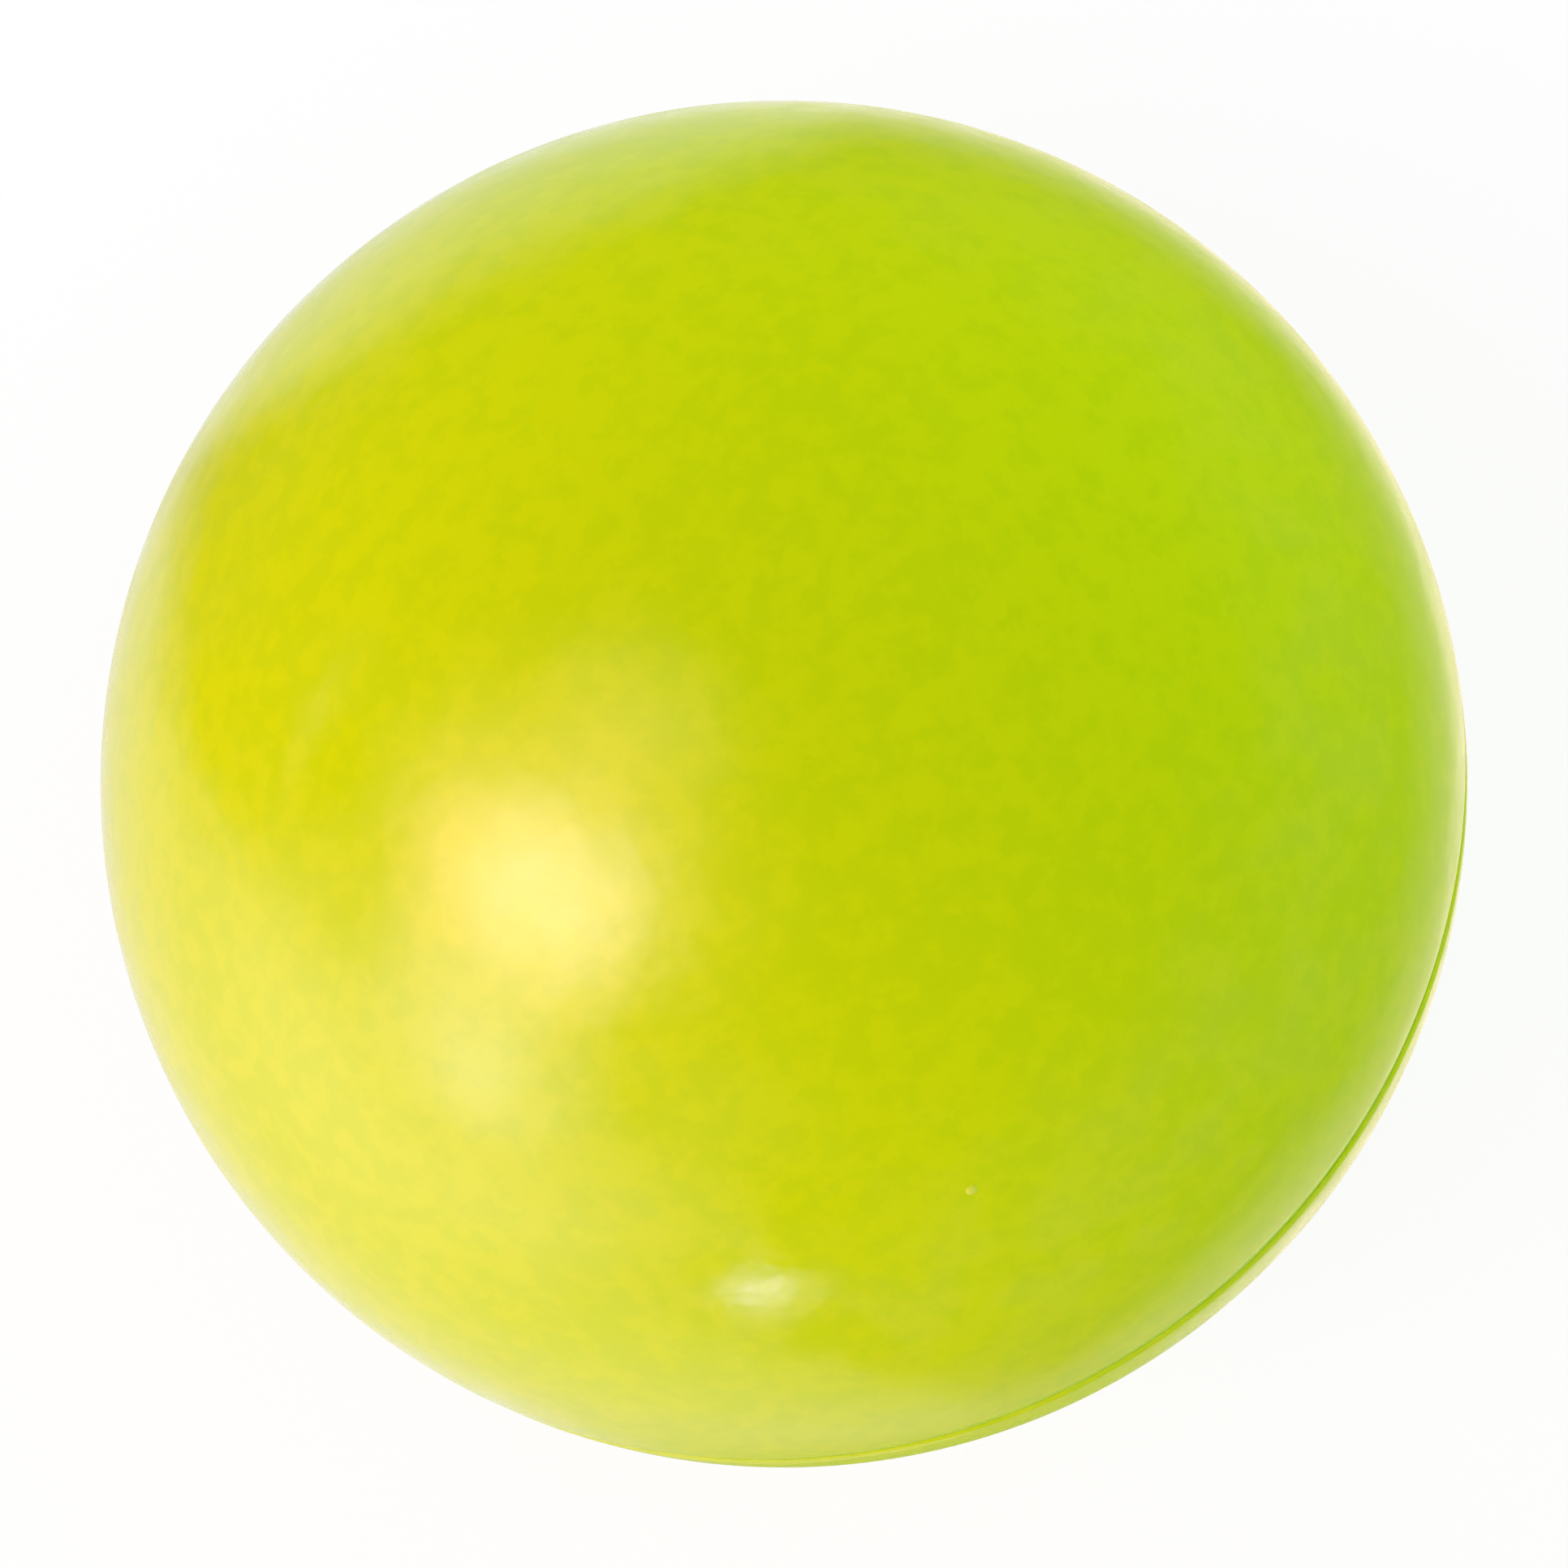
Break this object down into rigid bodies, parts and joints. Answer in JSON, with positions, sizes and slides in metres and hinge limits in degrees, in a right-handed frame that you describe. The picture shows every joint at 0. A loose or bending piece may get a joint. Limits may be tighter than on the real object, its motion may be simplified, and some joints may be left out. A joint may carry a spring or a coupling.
{
  "type": "field hockey ball",
  "caption": "Smooth hard field hockey ball: plastic half covers, joined by a spigot and a welded seam round the equator, over a cork-and-rubber composition core.",
  "frame": {"origin": "centre of the ball, which is the centre of its seam", "axes": "+Z along the mould axis, square to the seam and out of the upper cover; X and Y lie in the plane of the seam, at any turn about Z"},
  "size_m": [0.073, 0.073, 0.073],
  "materials": {
    "cover": "smooth moulded yellow-green plastic with a soft gloss",
    "weld": "deeper green weld plastic, a little duller than the cover",
    "core": "brown cork granules bound in rubber, matte"
  },
  "bodies": {
    "root": {"upper_cover": "cover", "lower_cover": "cover", "seam_bead": "weld", "core": "core"}
  },
  "joints": []
}
